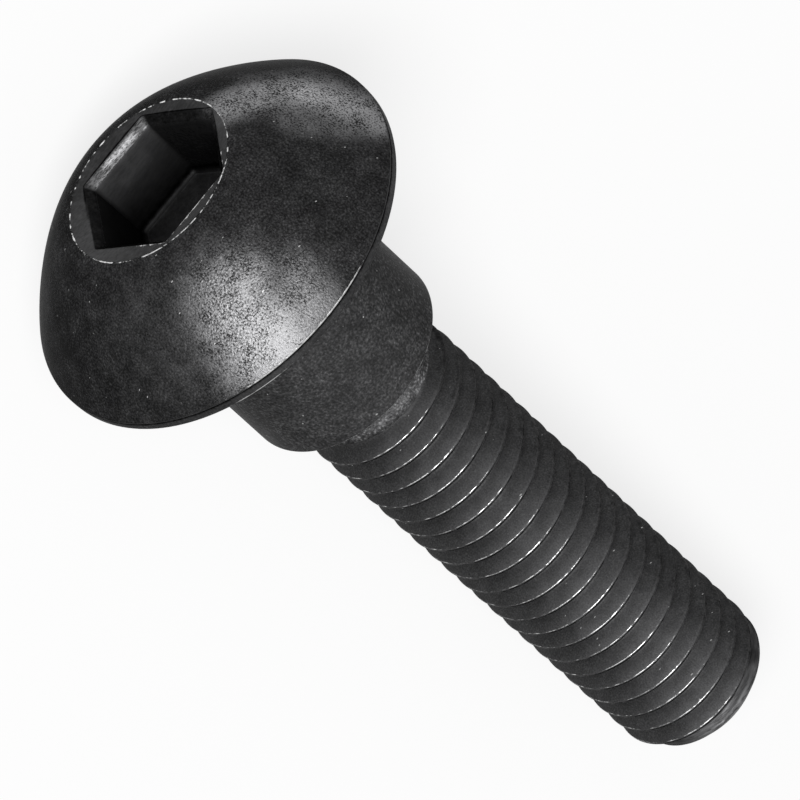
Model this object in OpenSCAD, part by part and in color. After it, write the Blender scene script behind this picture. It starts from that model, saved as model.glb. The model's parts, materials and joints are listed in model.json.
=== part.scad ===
// Button head shoulder screw with a hexagon socket and a metric thread.
// The screw lies on a surface, on the rim of its head and on its last thread.

/* [Head] */
// Diameter of the head at its rim
head_d = 18.9; // [16:0.1:24]
// Height of the head over its bearing face
head_h = 5.5; // [4.6:0.1:8]
// Height of the straight land round the rim
rim_h = 0.55; // [0.4:0.05:1.5]
// Rounding of the rim's lower edge
rim_round = 0.15; // [0.05:0.05:0.35]
// How far the dome swells out from a straight cone
dome_swell = 0.5; // [0.2:0.05:0.8]

/* [Socket] */
// Width of the hexagon socket across its flats
socket_af = 6.3; // [4:0.1:7]
// Depth of the socket below the top of the head
socket_depth = 4.1; // [2:0.1:6]
// Depth of the lead-in, which opens the hexagon at 45 degrees towards the mouth
lead_in = 0.45; // [0.2:0.05:0.7]
// How far the round mouth stands outside the lead-in's corners
mouth_margin = 0.08; // [0.06:0.02:0.4]
// Full angle of the shallow dish at the mouth
mouth_angle = 160; // [140:5:165]
// Turn of the hexagon about the screw's axis
socket_turn = 35; // [0:1:60]

/* [Shoulder] */
// Diameter of the plain shoulder
shoulder_d = 10; // [8.5:0.1:13]
// Length of the shoulder below the head
shoulder_l = 9.3; // [4:0.1:30]
// Fillet between the head and the shoulder
head_fillet = 0.3; // [0.1:0.05:0.8]
// Bevel at the end of the shoulder
shoulder_bevel = 0.15; // [0.05:0.05:0.5]

/* [Thread] */
// Outer diameter of the thread, a little under its nominal size
thread_d = 7.78; // [5.8:0.02:8]
// Pitch of the thread
pitch = 1.25; // [0.8:0.05:1.5]
// Length from the end of the shoulder to the tip
thread_l = 29.4; // [10:0.1:60]
// Length of the plain neck between the shoulder and the thread
neck_l = 2; // [0.8:0.1:5]
// Chamfer at the tip
tip_chamfer = 0.85; // [0.3:0.05:1.2]
// Turn of the thread about the screw's axis
thread_turn = 216; // [0:1:360]

/* [Hidden] */
$fn = 96;

// Metric thread form, in parts of the pitch
crest_part = 1 / 8;
depth_part = 0.6134;
flank_angle = 30;
thread_sides = 36;
row_margin = 0.02;
// How far the threaded shank reaches up into the shoulder
shank_root = 1;
// Room for cuts to run past a face
overrun = 1;

rim_r = head_d / 2;
shoulder_r = shoulder_d / 2;
crest_r = thread_d / 2;
thread_depth = depth_part * pitch;
neck_r = crest_r - thread_depth;
tip_r = crest_r - tip_chamfer;
length_l = shoulder_l + thread_l;
thread_start = shoulder_l + neck_l;
shank_top = shoulder_l - shank_root;

// The dome is an arc from the top of the rim to the mouth of the socket
flat_r = socket_af / 2;
mouth_r = (flat_r + lead_in) / cos(30) + mouth_margin;
mouth_sink = (mouth_r - flat_r) / tan(mouth_angle / 2);
dome_low = [rim_r, rim_h];
dome_top = [mouth_r, head_h];
dome_chord = dome_top - dome_low;
dome_out = [dome_chord[1], -dome_chord[0]] / norm(dome_chord);
dome_r = (pow(norm(dome_chord) / 2, 2) + pow(dome_swell, 2)) / (2 * dome_swell);
dome_centre = (dome_low + dome_top) / 2 - dome_out * (dome_r - dome_swell);

// Lying pose: the rim's rounded edge and the last crest touch the surface
crest_end = length_l - tip_chamfer;
lie_across = rim_r - rim_round - crest_r;
lie_along = crest_end + rim_round;
lie_angle = acos(-rim_round / norm([lie_across, lie_along])) - atan2(lie_along, lie_across);
lie_height = crest_r * cos(lie_angle) + crest_end * sin(lie_angle);
lie_low_x = -mouth_r * sin(lie_angle) - head_h * cos(lie_angle);
lie_high_x = tip_r * sin(lie_angle) + length_l * cos(lie_angle);
lie_centre_x = (lie_low_x + lie_high_x) / 2;

// Thread rows, from the top down: both edges of a crest, then both edges of a root
root_flat = pitch * (1 - crest_part) - 2 * thread_depth * tan(flank_angle);
row_offset = [
    -pitch * crest_part / 2, pitch * crest_part / 2,
    (pitch - root_flat) / 2, (pitch + root_flat) / 2
];
row_radius = [crest_r, crest_r, neck_r, neck_r];
row_count = len(row_offset);
first_turn = floor(thread_start / pitch) - 1;
turns = ceil((length_l - thread_start) / pitch) + 4;
rows = turns * row_count;
column_points = rows + 2;

// Distance of a row below the bearing face, at one side of the shank
function row_depth(row, side) =
    pitch * (first_turn + floor(row / row_count) + thread_turn / 360 - side / thread_sides)
    + row_offset[row % row_count];

// Radius of a row, held in by the neck's run-out and by the tip's chamfer
function row_reach(row, depth) = min(
    row_radius[row % row_count],
    neck_r + max(depth - thread_start, 0) / tan(flank_angle),
    tip_r + max(length_l - depth, 0)
);

function shank_point(radius, side, depth) =
    [radius * cos(360 * side / thread_sides), radius * sin(360 * side / thread_sides), -depth];

function column(side) = [
    shank_point(neck_r, side, shank_top),
    shank_point(tip_r, side, length_l),
    for (row = [0 : rows - 1])
        let (depth = row_depth(row, side))
        shank_point(row_reach(row, depth), side, depth)
];

// Index of a row's point: rows past the thread's two ends share the end points
function point_index(row, side) =
    side == thread_sides ? point_index(row - row_count, 0) :
    row < 0 || row_depth(row, side) < thread_start + row_margin ? side * column_points :
    row_depth(row, side) > length_l - row_margin ? side * column_points + 1 :
    side * column_points + 2 + row;

function three_apart(f) = f[0] != f[1] && f[1] != f[2] && f[2] != f[0];

module threaded_shank() {
    shank_points = [for (side = [0 : thread_sides - 1]) each column(side)];
    shank_faces = [
        for (side = [0 : thread_sides - 1], row = [0 : rows - 2])
            let (
                a = point_index(row, side),
                b = point_index(row + 1, side),
                c = point_index(row + 1, side + 1),
                d = point_index(row, side + 1)
            )
            each [[a, c, b], [a, d, c]]
    ];
    polyhedron(
        points = shank_points,
        faces = [
            for (f = shank_faces) if (three_apart(f)) f,
            [for (side = [thread_sides - 1 : -1 : 0]) side * column_points],
            [for (side = [0 : thread_sides - 1]) side * column_points + 1]
        ]
    );
}

// What a rounding of this radius takes off, or puts into, a square corner
module corner_web(radius) {
    difference() {
        translate([-radius, -radius]) square(2 * radius);
        translate([radius, radius]) circle(radius);
    }
}

module head_section() {
    difference() {
        intersection() {
            square([rim_r, head_h + overrun / 2]);
            translate(dome_centre) circle(dome_r);
        }
        translate([rim_r, 0]) mirror([1, 0]) corner_web(rim_round);
    }
}

module shoulder_section() {
    translate([0, -shoulder_l]) difference() {
        square([shoulder_r, shoulder_l + rim_h]);
        translate([shoulder_r, 0]) rotate(45) square(shoulder_bevel * sqrt(2), center = true);
    }
    translate([shoulder_r, 0]) mirror([0, 1]) corner_web(head_fillet);
}

// A hexagonal cut from a depth up past the top of the dome, by its flats' distances from the axis
module hexagon_cut(depth, low_r, high_r) {
    translate([0, 0, head_h - depth]) rotate(socket_turn)
        cylinder(h = depth + overrun, r1 = low_r / cos(30), r2 = high_r / cos(30), $fn = 6);
}

// The dish and the lead-in both start inside the hexagon, so that each crosses its flats
module socket() {
    translate([0, 0, head_h - 2 * mouth_sink]) cylinder(
        h = 2 * mouth_sink + overrun,
        r1 = 2 * flat_r - mouth_r,
        r2 = mouth_r + overrun * tan(mouth_angle / 2)
    );
    hexagon_cut(2 * lead_in, flat_r - lead_in, flat_r + lead_in + overrun);
    hexagon_cut(socket_depth, flat_r, flat_r);
}

module screw() {
    color("#3d3e40")
    translate([-lie_centre_x, 0, lie_height])
    rotate([0, lie_angle - 90, 0])
    union() {
        difference() {
            rotate_extrude() {
                head_section();
                shoulder_section();
            }
            socket();
        }
        threaded_shank();
    }
}

screw();
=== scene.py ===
# Looks of the black shoulder screw: fine mesh, finishes, floor, light and camera
import json
import math

import bpy
import numpy as np
from mathutils import Matrix, Vector


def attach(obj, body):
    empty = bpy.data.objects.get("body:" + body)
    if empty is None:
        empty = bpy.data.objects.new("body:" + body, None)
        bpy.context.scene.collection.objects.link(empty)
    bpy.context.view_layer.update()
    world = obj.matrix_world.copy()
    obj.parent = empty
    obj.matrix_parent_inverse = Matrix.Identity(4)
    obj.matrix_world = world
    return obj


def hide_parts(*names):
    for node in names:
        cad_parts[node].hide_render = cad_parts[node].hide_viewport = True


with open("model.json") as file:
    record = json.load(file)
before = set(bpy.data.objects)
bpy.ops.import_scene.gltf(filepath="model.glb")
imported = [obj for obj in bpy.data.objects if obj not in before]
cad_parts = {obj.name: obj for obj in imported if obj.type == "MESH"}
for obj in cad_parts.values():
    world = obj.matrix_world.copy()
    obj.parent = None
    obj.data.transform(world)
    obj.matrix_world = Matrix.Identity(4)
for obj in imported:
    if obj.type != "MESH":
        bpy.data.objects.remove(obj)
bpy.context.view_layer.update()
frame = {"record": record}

mm = 0.001
columns = 168  # points round each ring, shared evenly by the socket's six flats

headForm = {
    "radius": 9.447,
    "height": 5.5,
    "rimHeight": 0.55,
    "rimLowRound": 0.15,
    "rimDraw": 0.01,  # how far the rim's land draws in at its lower edge
    "domeFoot": (-0.02, 0.06),  # where the dome's curve starts, from the rim's upper edge
    "footHandle": (-1.05, 1.62),  # how the dome's curve leaves the rim
    "crownHandle": (1.57, -0.36),  # and how it arrives at the mouth
    "crownDrop": 0.012,
    "domeRings": 44,
    "undersideParts": (0.04, 0.35, 0.7, 0.97),  # where rings lie between the rim and the fillet
    "filletRadius": 0.3,
    "glintSide": (359, 26, 5),  # degrees round the axis, on the lit front, where the rim's edge is worn bare and painted brighter as a highlight
    "lowGlintSide": (339.5, 10, 3),  # and where its lower edge is painted bright as a highlight
    "paleSide": (56, 20, 6),  # and where its land is painted palest, as its lit side
    "lipWearAndGlint": (0.62, 0.08),  # wear on the mouth's lip, and how much more on the near side as painted glints
    "lowWearAndGlint": (0.1, 1.4),  # wear on the rim's lower edge, and how much more on its lit side as a painted highlight
    "lowLine": (0.62, 0.45),  # middle and half width of that bright line, in parts of the rounding
    "landPaintedLight": (0.3, 0.7),  # painted light on the rim's land, and how much more on its lit side
}

socketForm = {
    "flats": 6.3,
    "depth": 4.1,
    "turn": 35,
    "shift": 0.2,  # the hexagon was punched a little to one side
    "wallTop": 0.49,  # depth at which the flats give way to the lead-in
    "leadFlats": 7.0,  # across the top of the lead-in
    "leadTop": 0.14,
    "mouthRadius": 4.24,
    "mouthRound": 0.05,
    "mouthSink": 0.03,
    "cornerSharpness": 110,  # higher is a crisper corner between two flats
    "draft": 0.02,  # how much narrower the hexagon is at its floor
    "floorRound": 0.3,
    "floorDish": 0.12,
    "floorParts": (0.12, 0.35, 0.6, 0.82),  # where rings lie, in parts of each stretch
    "wallParts": (0.1, 0.22, 0.36, 0.52, 0.68, 0.84, 0.94, 0.99),
    "leadParts": (0.06, 0.2, 0.4, 0.6, 0.8, 0.94),
    "dishParts": (0.03, 0.2, 0.5, 0.8, 1.0),
    "nearSide": (2, 58, 6),  # degrees round the axis where the edges catch the light
    "farSide": (185, 30.2, 0.3),  # and the flat that keys have rubbed, which also gets painted light
    "shadedMouthSide": (150, 88, 12),  # and where the mouth and dish are painted dark as shade
    "floorCornerShade": 0.6,  # painted shade at the top of the floor's rounding, in the corner
    "wallPaintedLight": (0.1, 0.9),  # painted light at the top of the flats, leaving painted shade deeper down, and how much more on the rubbed flat
    "leadShade": 0.4,  # painted shade on the lead-in, all round but over the rubbed flat
    "leadPaintedLight": (0.52, -0.26),  # painted light, with the keys' rubbing, at the foot of the lead-in over that flat, and the change to its top
    "leadEdgeGlint": (0.85, 0.3),  # painted glints on the dish's first two rings, on the near side
    "dishShade": (0.7, 0.6),  # painted shade on the dish: paleness lost on the shaded side and on the near side
}

shankForm = {
    "shoulderRadius": 5.0,
    "shoulderLength": 9.3,
    "shoulderRound": 0.15,
    "shoulderParts": (0.02, 0.25, 0.5, 0.75, 0.985),  # where rings lie along the shoulder
    "edgeMarks": 0.85,  # bare wear on the rounding at the shoulder's end
    "edgeLine": (0.35, 0.4),  # height and width of that worn line, in parts of the rounding
    "endMargin": 0.1,  # from the roundings to the rings on the shoulder's end
    "neckFillet": 0.25,
    "neckRadius": 3.24,
    "neckLength": 2.15,
    "neckParts": (0.4, 0.8, 1.0),
    "neckWear": 0.15,
    "length": 38.7,
    "litSide": (359, 31, 9),  # degrees round the axis where the shank is painted palest, as its lit top
}

threadForm = {
    "radius": 3.89,
    "pitch": 1.25,
    "crestDepth": 12.0,  # where a crest crosses the top of the lying screw
    "flankAngle": 30,
    "depthPart": 0.6134,
    "crestPart": 1 / 8,
    "crestRound": 0.05,
    "rootRound": 0.03,
    "brightLine": -0.055,  # how far from a crest's middle its bright edge is, in pitches: worn bare, and painted brighter as a highlight on the lit side
    "brightWidth": 0.019,
    "glintSide": (345, 36, 8),  # degrees round the axis where that edge is painted brightest as a highlight
    "shadowLine": 0.015,  # and the line beside it, painted blackest as its shadow
    "shadowWidth": 0.045,
    "shadeSide": (62, 40, 10),  # where the whole crest is painted black as shade
    "crestShade": 0.52,
    "crestShadeWidth": 0.14,
    "edgeGlintSide": (286, 14, 4),  # and where its edge is painted bright again as a reflection
    "brightShare": (0.2, 0.8, 0.6),  # wear all round, and how much more on those sides as painted highlight and reflection
    "shadowShare": (0.3, 0.6),  # painted shadow all round, and how much more beside the bright line
    "paleShare": (0.05, 0.95, 0.09),  # painted light all round, and how much more on the lit top and on the shaded side
    "rootLight": 0.4,  # painted light left in the roots, in parts of a crest's, so the roots are painted darker as shade
    "crestLightLoss": 0.6,  # painted light lost by the crests on the shaded side
    "tipGain": (0.95, 0.48),  # painted light where the thread starts, and the change to the tip
    "groove": 0.3,  # a black turning mark, by its distance from the tip
    "grooveWidth": 0.04,
    "chamfer": 0.97,
    "chamferRound": 0.04,
    "tipRound": 0.03,
    "tipWear": 0.3,
    "blankStart": 37.1,  # where the point's plain blank starts to fill the roots
    "blankRise": 0.28,
    "blankRound": 0.05,
    "tipFinish": 37.35,  # where the tip's finish takes over from the thread's
    "rowMargin": 0.02,
    "halfRow": (0.0, 0.035, 0.055, 0.07, 0.1, 0.19, 0.3, 0.38, 0.43, 0.5),  # parts of a pitch
}


def arc(centre, radius, first, last, count):
    turns = np.radians(np.linspace(first, last, count))
    return [(centre[0] + radius * math.cos(t), centre[1] + radius * math.sin(t)) for t in turns]


def softMax(a, b, width):
    return (a + b + np.sqrt((a - b) ** 2 + width ** 2)) / 2


def softMin(a, b, width):
    return (a + b - np.sqrt((a - b) ** 2 + width ** 2)) / 2


angles = np.radians(socketForm["turn"]) + np.arange(columns) * 2 * math.pi / columns


class Skin:
    # one closed surface, made ring by ring from the socket's floor to the tip

    def __init__(self):
        self.points, self.wear, self.pale, self.faces, self.zones = [], [], [], [], []

    def point(self, place, wear=0.0, pale=0.0):
        self.points.append(place)
        self.wear.append(wear)  # 1 is bare bright metal, worn bare or a painted glint; -1 is blackest, painted shade or a real black mark
        self.pale.append(pale)  # painted light and shade: how much lighter than the zone's own tone, by how light falls on a side or into a hollow
        return len(self.points) - 1

    def ring(self, radius, height, wear=0.0, pale=0.0, shift=0.0):
        radius, height, wear, pale = (np.broadcast_to(v, columns) for v in (radius, height, wear, pale))
        places = zip(radius * np.cos(angles), radius * np.sin(angles) + shift, height)
        return [self.point(*row) for row in zip(places, wear, pale)]

    def face(self, corners, zone):
        corners = list(dict.fromkeys(corners))
        if len(corners) > 2:
            self.faces.append(corners)
            self.zones.append(zone)

    def band(self, upper, lower, zone):
        for j in range(columns):
            k = (j + 1) % columns
            self.face((upper[j], lower[j], lower[k], upper[k]), zone)

    def cap(self, ring, height, zone, shift=0.0, up=True):
        centre = self.point((0.0, shift, height))
        for j in range(columns):
            pair = ring[j], ring[(j + 1) % columns]
            self.face((centre, *(pair if up else reversed(pair))), zone)


def hexagonRadius(flats, sharpness):
    # distance from the axis to a hexagon's wall, with slightly rounded corners
    total = np.zeros(columns)
    for k in range(6):
        facing = np.cos(angles - math.radians(socketForm["turn"] + 30 + 60 * k))
        total += np.maximum(facing, 0) ** sharpness
    return flats / 2 * total ** (-1 / sharpness)


def around(centre, halfWidth, soft):
    # 1 within some degrees of a direction round the axis, fading to 0
    apart = np.abs((np.degrees(angles) - centre + 180) % 360 - 180)
    return 1 / (1 + np.exp((apart - halfWidth) / soft))


def socketRings(skin):
    s, top = socketForm, headForm["height"]
    wall = hexagonRadius(s["flats"], s["cornerSharpness"])
    lead = hexagonRadius(s["leadFlats"], s["cornerSharpness"])
    floorZ, wallTop, leadTop = top - s["depth"], top - s["wallTop"], top - s["leadTop"]
    wallLow, narrow, shift = floorZ + s["floorRound"], 1 - s["draft"], s["shift"]
    near, far, dark = around(*s["nearSide"]), around(*s["farSide"]), around(*s["shadedMouthSide"])
    rings = []

    def add(zone, radius, z, wear=0.0, pale=0.0, shift=shift):
        rings.append((skin.ring(radius, z, wear, pale, shift), zone))

    for part in s["floorParts"]:
        add("floor", wall * narrow * part, floorZ - s["floorDish"] * (1 - part))
    # the floor's rounding: its top is painted black as shade in the corner
    for r, z in arc((0, 0), s["floorRound"], -90, 0, 5):
        up = 1 + z / s["floorRound"]
        zone = "wall" if up > 0.2 else "floor"
        add(zone, wall * narrow - s["floorRound"] + r, wallLow + z, -s["floorCornerShade"] * up)
    # the flats: painted light at their top and on the rubbed flat, fading to painted shade in the depth
    wallPaintedLight = s["wallPaintedLight"][0] + s["wallPaintedLight"][1] * far
    for part in s["wallParts"]:
        z = wallLow + (wallTop - wallLow) * part
        add("wall", wall * (1 - s["draft"] * (1 - part)), z, pale=part ** 2 * wallPaintedLight)
    # the lead-in: painted light over the rubbed flat, with the keys' rubbing, and painted shade on the
    # other flats
    for part in s["leadParts"]:
        z = wallTop + (leadTop - wallTop) * part
        pale = (s["leadPaintedLight"][0] + s["leadPaintedLight"][1] * part) * far
        add("leadIn", wall + (lead - wall) * part, z, -s["leadShade"] * (1 - far), pale)
    edge = s["mouthRadius"] - s["mouthRound"]
    # the dish's edge: painted glints on the near side and painted shade on the dark side; the dish loses
    # painted light on both
    edgeMarks = dict(zip(s["dishParts"], (s["leadEdgeGlint"][0] * near - dark, s["leadEdgeGlint"][1] * near)))
    dishPale = (1 - s["dishShade"][0] * dark) * (1 - s["dishShade"][1] * near)
    for part in s["dishParts"]:
        z = leadTop + (top - s["mouthSink"] - leadTop) * part
        add("dish", lead + (edge - lead) * part, z, edgeMarks.get(part, 0.0), dishPale, shift * (1 - part))
    skin.cap(rings[0][0], floorZ - s["floorDish"], "floor", shift)
    for (inner, _), (outer, zone) in zip(rings, rings[1:]):
        skin.band(inner, outer, zone)
    return rings[-1][0], s["mouthRadius"]


def headRings(skin, lastRing, mouth):
    h = headForm
    rim, land, low = h["radius"], h["rimHeight"], h["rimLowRound"]
    foot = np.add((rim, land), h["domeFoot"])
    crown = np.array((mouth + socketForm["mouthRound"], h["height"] - h["crownDrop"]))
    handles = foot + h["footHandle"], crown + h["crownHandle"]
    near, front = around(*socketForm["nearSide"]), around(*h["glintSide"])
    lipWearAndGlint = h["lipWearAndGlint"][0] + h["lipWearAndGlint"][1] * near
    outline = [  # radius, height, wear with painted light, and finish, first of the mouth's worn lip with painted glints on the near side
        (mouth - 0.018 - 0.026 * near, h["height"] - 0.014 - 0.008 * near, lipWearAndGlint, "dish"),
        (mouth + 0.016 + 0.028 * near, h["height"] - 0.005, lipWearAndGlint, "dome"),
    ]
    for t in np.linspace(1, 0, h["domeRings"]):
        p = ((1 - t) ** 3 * foot + 3 * (1 - t) ** 2 * t * handles[0]
             + 3 * (1 - t) * t ** 2 * handles[1] + t ** 3 * crown)
        outline.append((*p, 0.0, "dome"))
    outline += [  # the rim's worn upper edge with a painted highlight on the front, a painted shadow line under it, and the land
        (rim - 0.008, land + 0.035, 0.2 + 0.8 * front, "dome"),
        (rim, land - 0.01, 0.1 + 0.8 * front, "rim"),
        (rim, land - 0.045, -0.9, "rim"),
        (rim, land - 0.1, -0.5, "rim"),
        (rim, land * 0.6, 0.0, "rim"),
        (rim - h["rimDraw"], low + 0.04, 0.0, "rim"),
    ]
    # the rim's lower edge: a little wear all round, and a painted highlight on the lit side
    lowWearAndGlint = h["lowWearAndGlint"][0] + h["lowWearAndGlint"][1] * around(*h["lowGlintSide"])
    middle, width = np.multiply(h["lowLine"], low)
    for r, z in arc((rim - h["rimDraw"] - low, low), low, 0, -90, 6):
        outline.append((r, z, lowWearAndGlint * max(0.0, 1 - abs(z - middle) / width), "rim"))
    outer, inner = rim - low, shankForm["shoulderRadius"] + h["filletRadius"]
    for part in h["undersideParts"]:
        outline.append((outer - (outer - inner) * part, 0.0, 0.0, "underside"))
    for r, z in arc((inner, -h["filletRadius"]), h["filletRadius"], 90, 180, 6):
        outline.append((r, z, 0.0, "underside"))
    # the rim's land gets painted light, palest on its lit side
    landPaintedLight = h["landPaintedLight"][0] + h["landPaintedLight"][1] * around(*h["paleSide"])
    for r, z, wear, zone in outline:
        nextRing = skin.ring(r, z, wear, landPaintedLight if zone == "rim" else 0.0)
        skin.band(lastRing, nextRing, zone)
        lastRing = nextRing
    return lastRing


def shoulderRings(skin, lastRing, neckRadius):
    s = shankForm
    r, end, edge = s["shoulderRadius"], -s["shoulderLength"], s["shoulderRound"]
    top = -headForm["filletRadius"]
    outline = [(r, top + (end + edge - top) * part, 0.0, "shoulder") for part in s["shoulderParts"]]
    middle, width = np.multiply(s["edgeLine"], edge)
    for x, z in arc((r - edge, end + edge), edge, 0, -90, 6):
        wornAndPainted = s["edgeMarks"] * math.exp(-((z - end - middle) / width) ** 2)
        outline.append((x, z, wornAndPainted, "shoulder"))
    fillet = s["neckFillet"]
    for x in (r - edge - s["endMargin"], neckRadius + fillet + s["endMargin"]):
        outline.append((x, end, 0.0, "shoulder"))
    for x, z in arc((neckRadius + fillet, end - fillet), fillet, 90, 180, 5):
        outline.append((x, z, 0.0, "neck"))
    neckEnd = end - s["neckLength"]
    for part in s["neckParts"]:
        z = end - fillet + (neckEnd - end + fillet) * part
        outline.append((neckRadius, z, s["neckWear"], "neck"))
    # painted light: the shoulder, neck and tip are paler on their lit top
    pale = around(*s["litSide"])
    for x, z, wear, zone in outline:
        nextRing = skin.ring(x, z, wear, pale)
        skin.band(lastRing, nextRing, zone)
        lastRing = nextRing
    return lastRing


def threadRows(skin, topRing, neckRadius):
    t, length = threadForm, shankForm["length"]
    start = shankForm["shoulderLength"] + shankForm["neckLength"]
    half = t["halfRow"]
    offsets = [-p for p in reversed(half[1:-1])] + list(half)
    perTurn = len(offsets)
    firstTurn = math.floor((start - t["crestDepth"]) / t["pitch"]) - 1
    turns = math.ceil((length - start) / t["pitch"]) + 4
    rows = np.array([firstTurn + k + p for k in range(turns) for p in offsets])
    offset = np.tile(offsets, turns)
    depth = t["crestDepth"] + t["pitch"] * (rows[:, None] - angles[None, :] / (2 * math.pi))
    flankSlope = math.tan(math.radians(t["flankAngle"]))
    fromCrest = (np.abs(offset) - t["crestPart"] / 2) * t["pitch"] / flankSlope
    fall = softMin(softMax(fromCrest, 0, t["crestRound"]), t["depthPart"] * t["pitch"], t["rootRound"])
    radius = np.broadcast_to((t["radius"] - fall)[:, None], depth.shape)
    rootRadius = t["radius"] - t["depthPart"] * t["pitch"]
    toTip = np.clip((depth - t["blankStart"]) / (length - t["blankStart"]), 0, 1)
    blank = rootRadius + t["blankRise"] * toTip
    radius = softMax(radius, blank - t["blankRound"], t["blankRound"])
    runIn = neckRadius + np.maximum(depth - start, 0) / flankSlope
    tipRadius = t["radius"] - t["chamfer"]
    cone = tipRadius + np.maximum(length - depth, 0)
    radius = np.minimum(np.minimum(radius, runIn), softMin(radius, cone, t["chamferRound"]))
    rise = np.clip((radius - rootRadius) / (t["depthPart"] * t["pitch"]), 0, 1)
    # sides round the axis for painted light, painted highlights, painted shade and painted reflections
    litSide, glintSide = around(*shankForm["litSide"]), around(*t["glintSide"])
    shadeSide, edgeGlintSide = around(*t["shadeSide"]), around(*t["edgeGlintSide"])
    # bright crest edges: wear all round, with a painted highlight on the lit side and a painted reflection
    # at the edge
    wornAndPainted = t["brightShare"][0] + t["brightShare"][1] * glintSide + t["brightShare"][2] * edgeGlintSide
    bright = np.exp(-((offset - t["brightLine"]) / t["brightWidth"]) ** 2)[:, None] * wornAndPainted
    # a painted shadow line beside each bright edge
    black = np.exp(-((offset - t["shadowLine"]) / t["shadowWidth"]) ** 2)[:, None]
    black = black * (t["shadowShare"][0] + t["shadowShare"][1] * glintSide)
    # painted shade on whole crests on the shaded side
    wholeCrest = t["crestShade"] * np.exp(-(offset / t["crestShadeWidth"]) ** 2)[:, None] * shadeSide
    mark = np.exp(-((length - t["groove"] - depth) / t["grooveWidth"]) ** 2)
    wear = (bright - np.maximum(black, wholeCrest)) * np.clip(2 * rise, 0, 1) - mark
    # painted light: paler on the lit top, painted shade in the roots and on shaded crests, more light
    # towards the tip
    pale = t["paleShare"][0] + t["paleShare"][1] * litSide + t["paleShare"][2] * shadeSide
    pale = pale * (t["rootLight"] + (1 - t["rootLight"]) * rise) * (1 - t["crestLightLoss"] * rise * shadeSide)
    pale = pale * (t["tipGain"][0] + t["tipGain"][1] * (depth - start) / (length - start))
    tipTop = length - t["tipRound"]
    tipRing = skin.ring(tipRadius + t["tipRound"], -tipTop, t["tipWear"], litSide)
    index = np.empty(depth.shape, dtype=int)
    for row in range(len(rows)):
        for j in range(columns):
            d = depth[row, j]
            if d < start + t["rowMargin"]:
                index[row, j] = topRing[j]
            elif d > tipTop - t["rowMargin"]:
                index[row, j] = tipRing[j]
            else:
                r = radius[row, j]
                place = r * math.cos(angles[j]), r * math.sin(angles[j]), -d
                index[row, j] = skin.point(place, wear[row, j], pale[row, j])
    for row in range(len(rows) - 1):
        for j in range(columns):
            if j + 1 < columns:
                right = index[row, j + 1], index[row + 1, j + 1]
            else:  # a full turn on, the same row is one pitch higher
                right = [index[q - perTurn, 0] if q >= perTurn else topRing[0] for q in (row, row + 1)]
            middle = (depth[row, j] + depth[row + 1, j]) / 2
            zone = "tip" if middle > t["tipFinish"] else "thread"
            skin.face((index[row, j], index[row + 1, j], right[1], right[0]), zone)
    lastRing = tipRing
    for r in (tipRadius - t["tipRound"], tipRadius - 0.2, tipRadius * 0.5):  # the end face
        nextRing = skin.ring(r, -length)
        skin.band(lastRing, nextRing, "tip")
        lastRing = nextRing
    skin.cap(lastRing, -length, "tip", up=False)


# the screw's own axes in the frame, from the record's mounts
mounts = {m["name"]: m for m in frame["record"]["mounts"]}
headward = Vector(mounts["drive_socket"]["axis"]).normalized()
sideward = Vector((0, 1, 0))
upward = sideward.cross(headward)
bearing = Vector(mounts["drive_socket"]["pos_m"]) - headward * headForm["height"] * mm
toFrame = Matrix((upward, sideward, headward)).transposed().to_4x4()
toFrame.translation = bearing


class Value:
    # a shader socket that takes Python's arithmetic

    def __init__(self, book, socket):
        self.book, self.socket = book, socket

    def maths(self, operation, first, second):
        return self.book.node("ShaderNodeMath", {"operation": operation}, {0: first, 1: second})

    def __add__(self, other):
        return self.maths("ADD", self, other)

    def __radd__(self, other):
        return self.maths("ADD", other, self)

    def __sub__(self, other):
        return self.maths("SUBTRACT", self, other)

    def __rsub__(self, other):
        return self.maths("SUBTRACT", other, self)

    def __mul__(self, other):
        return self.maths("MULTIPLY", self, other)

    def __rmul__(self, other):
        return self.maths("MULTIPLY", other, self)

    def __rpow__(self, other):
        return self.maths("POWER", other, self)


class Book:
    # one material's or world's node tree

    def __init__(self, tree):
        self.tree = tree
        tree.nodes.clear()

    def node(self, kind, settings=None, sockets=None, out=0):
        made = self.tree.nodes.new(kind)
        for name, value in (settings or {}).items():
            setattr(made, name, value)
        for key, value in (sockets or {}).items():
            socket = made.inputs[key] if isinstance(key, int) else self.find(made.inputs, key)
            if isinstance(value, Value):
                self.tree.links.new(value.socket, socket)
            else:
                socket.default_value = value
        if made.outputs:
            return Value(self, made.outputs[out] if isinstance(out, int) else self.find(made.outputs, out))

    def find(self, sockets, key):
        return next(s for s in sockets if key in (s.identifier, s.name))

    def blend(self, factor, low, high):
        return self.node("ShaderNodeMix", {"data_type": "RGBA"}, {
            "Factor_Float": factor, "A_Color": low, "B_Color": high}, "Result_Color")

    def ramp(self, value, low, high):
        # 0 below low, 1 above high
        return self.node("ShaderNodeMapRange", {"interpolation_type": "SMOOTHSTEP"}, {
            "Value": value, "From Min": low, "From Max": high})

    def noise(self, place, scale, detail=3.0, rough=0.55):
        return self.node("ShaderNodeTexNoise", {"noise_dimensions": "3D"}, {
            "Vector": place, "Scale": scale, "Detail": detail, "Roughness": rough})

    def spots(self, place, scale):
        return self.node("ShaderNodeTexVoronoi", {"feature": "F1"}, {
            "Vector": place, "Scale": scale}, "Distance")

    def stretch(self, place, factors):
        return self.node("ShaderNodeVectorMath", {"operation": "MULTIPLY"}, {0: place, 1: factors})


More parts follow.
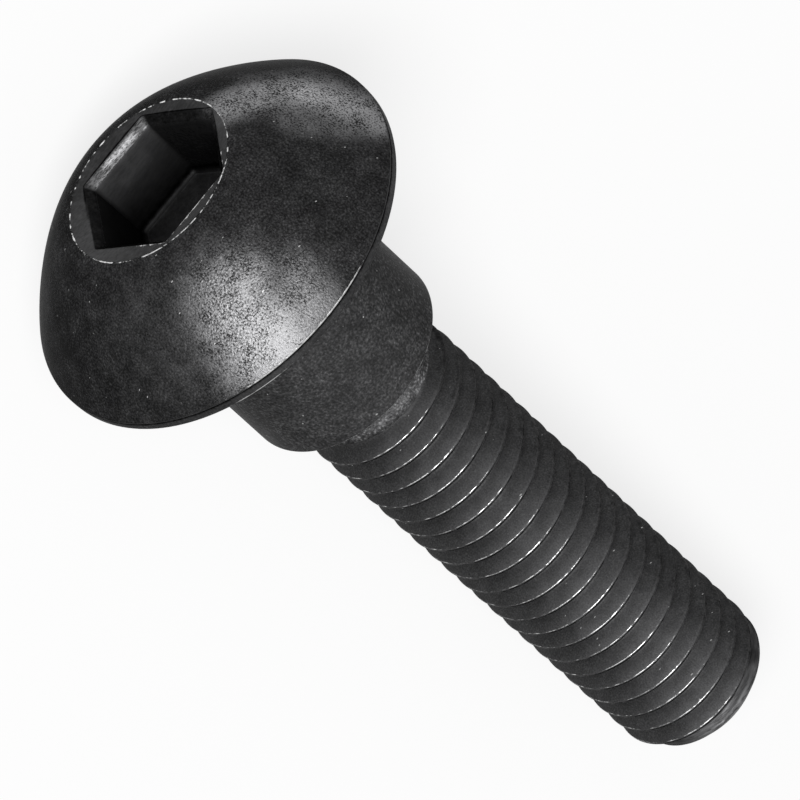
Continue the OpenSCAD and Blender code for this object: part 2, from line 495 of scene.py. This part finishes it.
# tones are linear greys, spreads are in doublings, scales are per millimetre, heights are millimetres
plainFinish = {
    "tone": 0.03, "metal": 0.7, "grainSpread": 3.0, "cloudSpread": 2.0, "rough": 0.46, "roughSpread": 0.1,
    "grain": 10.0, "height": 0.008, "brush": (1, 1, 1), "bare": 0.4, "bareRough": 0.35,
    "rubAndPaintedLight": 0.0,  # tone added by painted highlights, painted light and shade, and rubbing
    "speckle": 1.0,  # how broken that painted tone is
    "fill": 0.0,  # how far the painted highlight runs together at the front of the rim
    "dash": 2.2,  # how broken the bare edges are
    "dust": 1.0,
}
finishes = {
    "dome": {"tone": 0.022, "metal": 0.85, "grainSpread": 6.0, "cloudSpread": 3.0, "rough": 0.43,
             "grain": 11.0, "height": 0.022, "rubAndPaintedLight": 0.27, "fill": 0.08, "bare": 0.8},
    "rim": {"tone": 0.028, "metal": 0.7, "grainSpread": 4.0, "rubAndPaintedLight": 0.03, "speckle": 0.3, "bare": 0.5,
            "dash": 1.4},
    "underside": {},
    "shoulder": {"tone": 0.026, "metal": 0.5, "grainSpread": 8.0, "cloudSpread": 3.0, "rough": 0.5,
                 "grain": 8.0, "height": 0.016, "rubAndPaintedLight": 0.023, "speckle": 0.3},
    "neck": {"tone": 0.062, "metal": 0.6, "grainSpread": 10.0, "cloudSpread": 5.0, "rough": 0.5,
             "grain": 8.0, "height": 0.02, "rubAndPaintedLight": 0.08, "speckle": 0.6},
    "thread": {"tone": 0.027, "metal": 0.25, "grainSpread": 4.0, "cloudSpread": 1.8, "rough": 0.52,
               "grain": 13.0, "bare": 0.65, "rubAndPaintedLight": 0.07, "speckle": 0.35, "dash": 1.5},
    "tip": {"tone": 0.032, "metal": 0.5, "grainSpread": 5.0, "cloudSpread": 1.2, "rough": 0.42,
            "grain": 12.0, "brush": (0.1, 0.1, 1), "rubAndPaintedLight": 0.13, "speckle": 0.8},
    "dish": {"tone": 0.02, "metal": 0.5, "cloudSpread": 2.5, "rough": 0.46, "brush": (1, 0.4, 1),
             "rubAndPaintedLight": 0.036, "speckle": 0.3, "bare": 0.85, "dash": 2.6, "dust": 0.0},
    "leadIn": {"tone": 0.013, "metal": 0.8, "rough": 0.42, "grain": 14.0, "brush": (1, 0.3, 1),
               "rubAndPaintedLight": 0.2, "speckle": 0.8, "bare": 0.5, "dust": 0.0},
    "wall": {"tone": 0.015, "metal": 0.8, "grainSpread": 1.6, "cloudSpread": 1.4, "rough": 0.46,
             "grain": 6.0, "brush": (1, 0.3, 1), "rubAndPaintedLight": 0.13, "speckle": 0.2, "dust": 0.0},
    "floor": {"tone": 0.04, "metal": 0.6, "grainSpread": 1.6, "rough": 0.5, "grain": 6.0, "dust": 0.0},
}
wearForm = {
    "cloudScale": 1.1,
    "pitScale": 1.1,  # of the pits in the painted tone, in parts of the grain's
    "pitSpan": (0.36, 0.58),  # noise levels from a pit to the full painted tone
    "pitCloud": 0.3,
    "fillSpan": (8.2, 9.1),  # from where to where, towards the rim's front, the pits fill
    "dashScale": 3.2,
    "bareSpan": (0.55, 0.95),  # wear levels from the finish to bare metal
    "blackSpan": (0.1, 0.8),  # and from the finish to the blackest
    "blackDepth": 0.9,
    "blotch": 0.8,  # how uneven the black is
}
edgeTint = 0.3  # how much of a metal's usual bright edge the finish shows
glint = 0.2  # the specular level all over
dustForm = {
    "scale": 1.15,
    "size": 0.055,
    "core": 0.6,  # part of the size that is fully dust
    "uneven": 0.12,
    "unevenScale": 3.0,
    "tone": 0.4,
    "stretch": (2.0, 0.7, 1.2),
}

# painted highlights and painted reflections on the screw, with painted shade where the strength is below
# 0; the last two lie on the socket's key-rubbed flat and are partly real rubbing: two ends of a stretch,
# reach and strength
paintedHighlights = [
    ((8.9, -1.8, 1.2), (7.2, -1.2, 3.1), 2.1, 0.6),
    ((8.3, -3.6, 1.3), (7.6, -2.6, 2.5), 1.2, 0.14),
    ((9.05, 1.2, 1.0), (8.1, 1.6, 2.2), 1.0, 0.3),
    ((7.9, -0.2, 2.6), (7.8, 0.6, 2.7), 0.6, -0.16),
    ((7.6, -4.0, 1.6), (5.6, -4.0, 3.8), 2.6, 0.06),
    ((0.3, 4.9, 5.3), (0.6, 7.2, 3.6), 1.2, 1.0),
    ((-0.9, 6.6, 4.1), (-0.9, 8.3, 2.3), 1.2, 0.3),
    ((0.8, 7.9, 2.8), (1.2, 8.7, 1.7), 1.5, 0.5),
    ((1.5, 8.0, 2.4), (3.1, 8.7, 1.1), 1.2, 0.8),
    ((2.5, 6.2, 3.9), (3.4, 7.5, 2.4), 0.9, 0.32),
    ((-1.7, -5.1, 4.8), (-2.6, -7.0, 3.4), 0.9, 0.1),
    ((-3.34, -0.9, 5.2), (-3.34, 1.1, 5.2), 0.12, 1.5),
    ((-3.12, -0.8, 3.85), (-3.12, 0.7, 3.85), 0.18, 0.35),
]


# how strongly each point gets the painted highlights
def paintedHighlightLevels(points):
    total = np.zeros(len(points))
    for start, end, reach, strength in paintedHighlights:
        start, along = np.array(start), np.subtract(end, start)
        part = np.clip((points - start) @ along / (along @ along), 0, 1)
        apart = np.linalg.norm(points - start - part[:, None] * along, axis=1)
        total += strength * np.exp(-(apart / reach) ** 3)
    return total


def blackSteel(zone):
    look, w, d = {**plainFinish, **finishes[zone]}, wearForm, dustForm
    material = bpy.data.materials.new("steel_" + zone)
    material.use_nodes = True
    book = Book(material.node_tree)
    place = book.node("ShaderNodeAttribute", {"attribute_name": "place"}, out="Vector")
    wornAndPainted = book.node("ShaderNodeAttribute", {"attribute_name": "wear"}, out="Fac")
    # painted highlights, painted light and shade, and rubbing on the keyed flat
    rubAndPaintedLight = book.node("ShaderNodeAttribute", {"attribute_name": "rubAndPaintedLight"}, out="Fac")
    brushed = book.stretch(place, look["brush"])
    grain = book.noise(brushed, look["grain"], 2.0)
    cloud = book.noise(place, w["cloudScale"])
    spread = look["grainSpread"] * (grain - 0.5) + look["cloudSpread"] * (cloud - 0.5)
    tone = look["tone"] * 2.0 ** spread
    pits = book.noise(brushed, w["pitScale"] * look["grain"], 3.0, 0.6)
    front = book.node("ShaderNodeSeparateXYZ", {}, {0: place}, "X")
    fill = look["fill"] * book.ramp(front, *w["fillSpan"])
    broken = book.ramp(pits + w["pitCloud"] * (cloud - 0.5) + fill, *w["pitSpan"])
    # the painted highlights and painted light and shade brighten the tone, broken by pits
    tone = tone + look["rubAndPaintedLight"] * rubAndPaintedLight * (1 - look["speckle"] * (1 - broken))
    dashes = book.noise(place, w["dashScale"], 3.0, 0.6)
    # blackened where the wear attribute is below 0: painted shade, and real black marks such as the
    # turning groove
    black = book.ramp(w["blotch"] * (dashes - 0.5) - wornAndPainted, *w["blackSpan"])
    tone = tone * (1 - w["blackDepth"] * black)
    # bare metal where it is worn, and painted glints
    bare = book.ramp(wornAndPainted + look["dash"] * (dashes - 0.5), *w["bareSpan"])
    speck = book.spots(book.stretch(place, d["stretch"]), d["scale"])
    speck = speck + d["uneven"] * (book.noise(place, d["unevenScale"]) - 0.5)
    dust = look["dust"] * (1 - book.ramp(speck, d["size"] * d["core"], d["size"]))
    oxide = book.node("ShaderNodeCombineColor", {}, {0: tone, 1: tone, 2: 1.02 * tone})  # faintly blue
    colour = book.blend(bare, oxide, (look["bare"],) * 3 + (1,))
    colour = book.blend(dust, colour, (d["tone"],) * 3 + (1,))
    rough = look["rough"] + look["roughSpread"] * (cloud - 0.5)
    rough = rough * (1 - bare) + look["bareRough"] * bare
    bump = book.node("ShaderNodeBump", {}, {
        "Strength": 1.0, "Distance": look["height"] * mm, "Height": grain})
    steel = book.node("ShaderNodeBsdfPrincipled", {}, {
        "Base Color": colour, "Metallic": look["metal"] + (1 - look["metal"]) * (bare + black),
        "Roughness": rough, "Normal": bump,
        "Specular IOR Level": glint, "Specular Tint": (edgeTint,) * 3 + (1,)})
    book.node("ShaderNodeOutputMaterial", {}, {"Surface": steel})
    return material


def makeScrew():
    skin = Skin()
    neckRadius = shankForm["neckRadius"]
    ring, mouth = socketRings(skin)
    ring = headRings(skin, ring, mouth)
    ring = shoulderRings(skin, ring, neckRadius)
    threadRows(skin, ring, neckRadius)
    mesh = bpy.data.meshes.new("screw_skin")
    inFrame = [toFrame @ (Vector(p) * mm) for p in skin.points]
    mesh.from_pydata(inFrame, [], skin.faces)
    zoneOrder = list(finishes)
    for zone in zoneOrder:
        mesh.materials.append(blackSteel(zone))
    mesh.polygons.foreach_set("material_index", [zoneOrder.index(z) for z in skin.zones])
    place = mesh.attributes.new("place", "FLOAT_VECTOR", "POINT")
    place.data.foreach_set("vector", np.array(skin.points, dtype=np.float32).ravel())
    # wear, with painted glints and painted shade
    wear = mesh.attributes.new("wear", "FLOAT", "POINT")
    wear.data.foreach_set("value", np.array(skin.wear, dtype=np.float32))
    rubAndPaintedLight = mesh.attributes.new("rubAndPaintedLight", "FLOAT", "POINT")
    # painted highlights added to the painted light and shade
    rubAndPaintedLight.data.foreach_set("value", (paintedHighlightLevels(np.array(skin.points)) + skin.pale).astype(np.float32))
    mesh.polygons.foreach_set("use_smooth", [True] * len(skin.faces))
    mesh.update()
    screw = bpy.data.objects.new("screw_skin", mesh)
    bpy.context.scene.collection.objects.link(screw)
    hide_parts("screw")
    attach(screw, "root")
    triangles = sum(len(f) - 2 for f in skin.faces)
    print("screw skin made:", len(skin.points), "points,", triangles, "triangles")


makeScrew()

floorForm = {
    "size": 3.0,
    "tone": 0.94,
    "glow": 0.78,  # how much of its whiteness needs no light, which keeps the shadow pale
}


def seenDirectly(book):
    # 1 for what the camera, reflections and glass see, 0 for light on matt surfaces
    names = "Is Camera Ray", "Is Glossy Ray", "Is Transmission Ray"
    camera, glossy, glass = (book.node("ShaderNodeLightPath", out=name) for name in names)
    return book.node("ShaderNodeClamp", {}, {"Value": camera + glossy + glass})


def makeFloor():
    half = floorForm["size"] / 2
    mesh = bpy.data.meshes.new("floor")
    corners = [(-half, -half, 0), (half, -half, 0), (half, half, 0), (-half, half, 0)]
    mesh.from_pydata(corners, [], [(0, 1, 2, 3)])
    material = bpy.data.materials.new("pale_floor")
    material.use_nodes = True
    book = Book(material.node_tree)
    paper = book.node("ShaderNodeBsdfDiffuse", {}, {"Color": (floorForm["tone"],) * 3 + (1,)})
    white = book.node("ShaderNodeEmission", {}, {"Color": (1, 1, 1, 1), "Strength": 1.0})
    glow = floorForm["glow"] * seenDirectly(book)
    both = book.node("ShaderNodeMixShader", {}, {0: glow, 1: paper, 2: white})
    book.node("ShaderNodeOutputMaterial", {}, {"Surface": both})
    mesh.materials.append(material)
    floor = bpy.data.objects.new("floor", mesh)
    bpy.context.scene.collection.objects.link(floor)


makeFloor()
print("floor laid")

lightForm = {
    "worldSeen": 1.0,  # what the camera and reflections see
    "worldFill": 0.25,  # what lights matt surfaces
    "lampWide": 0.34,
    "lampTall": 0.26,
    "lampDistance": 0.6,
    "lampAzimuth": -156,  # from +X towards +Y
    "lampHeight": 64,  # degrees over the floor
    "lampPower": 3.05,
}


def makeLight():
    world = bpy.data.worlds.new("studio")
    bpy.context.scene.world = world
    world.use_nodes = True
    book = Book(world.node_tree)
    fill, seen = lightForm["worldFill"], lightForm["worldSeen"]
    strength = fill + (seen - fill) * seenDirectly(book)
    sky = book.node("ShaderNodeBackground", {}, {"Color": (1, 1, 1, 1), "Strength": strength})
    book.node("ShaderNodeOutputWorld", {}, {"Surface": sky})
    turn, rise = math.radians(lightForm["lampAzimuth"]), math.radians(lightForm["lampHeight"])
    away = Vector((math.cos(rise) * math.cos(turn), math.cos(rise) * math.sin(turn), math.sin(rise)))
    lamp = bpy.data.lights.new("softbox", "AREA")
    lamp.shape = "ELLIPSE"
    lamp.size, lamp.size_y = lightForm["lampWide"], lightForm["lampTall"]
    lamp.energy = lightForm["lampPower"]
    softbox = bpy.data.objects.new("softbox", lamp)
    softbox.location = away * lightForm["lampDistance"]
    softbox.rotation_euler = away.to_track_quat("Z", "Y").to_euler()
    bpy.context.scene.collection.objects.link(softbox)


makeLight()
print("light set")

# the photograph's view: a long lens, the screw's head leaning towards it
cameraForm = {
    "axisAngle": 50.2,  # between the screw's axis and the line of sight
    "roll": 42.5,
    "distance": 441.6,
    "aim": (7.872, 6.74),  # right and down from the bearing face's centre
    "lens": 451.6,
    "sensor": 36.0,
}


def makeCamera():
    c = cameraForm
    lean, roll = math.radians(c["axisAngle"]), math.radians(c["roll"])
    forward = -(upward * math.sin(lean) + headward * math.cos(lean))
    tipward = upward * math.cos(lean) - headward * math.sin(lean)
    right = tipward * math.cos(roll) + sideward * math.sin(roll)
    down = tipward * math.sin(roll) - sideward * math.cos(roll)
    aim = bearing + (right * c["aim"][0] + down * c["aim"][1]) * mm
    data = bpy.data.cameras.new("camera")
    data.lens, data.sensor_width = c["lens"], c["sensor"]
    data.clip_start, data.clip_end = 0.01, 10
    camera = bpy.data.objects.new("camera", data)
    matrix = Matrix((right, -down, -forward)).transposed().to_4x4()
    matrix.translation = aim - forward * c["distance"] * mm
    camera.matrix_world = matrix
    bpy.context.scene.collection.objects.link(camera)
    bpy.context.scene.camera = camera


makeCamera()
bpy.context.scene.view_settings.view_transform = "Standard"
print("camera set")
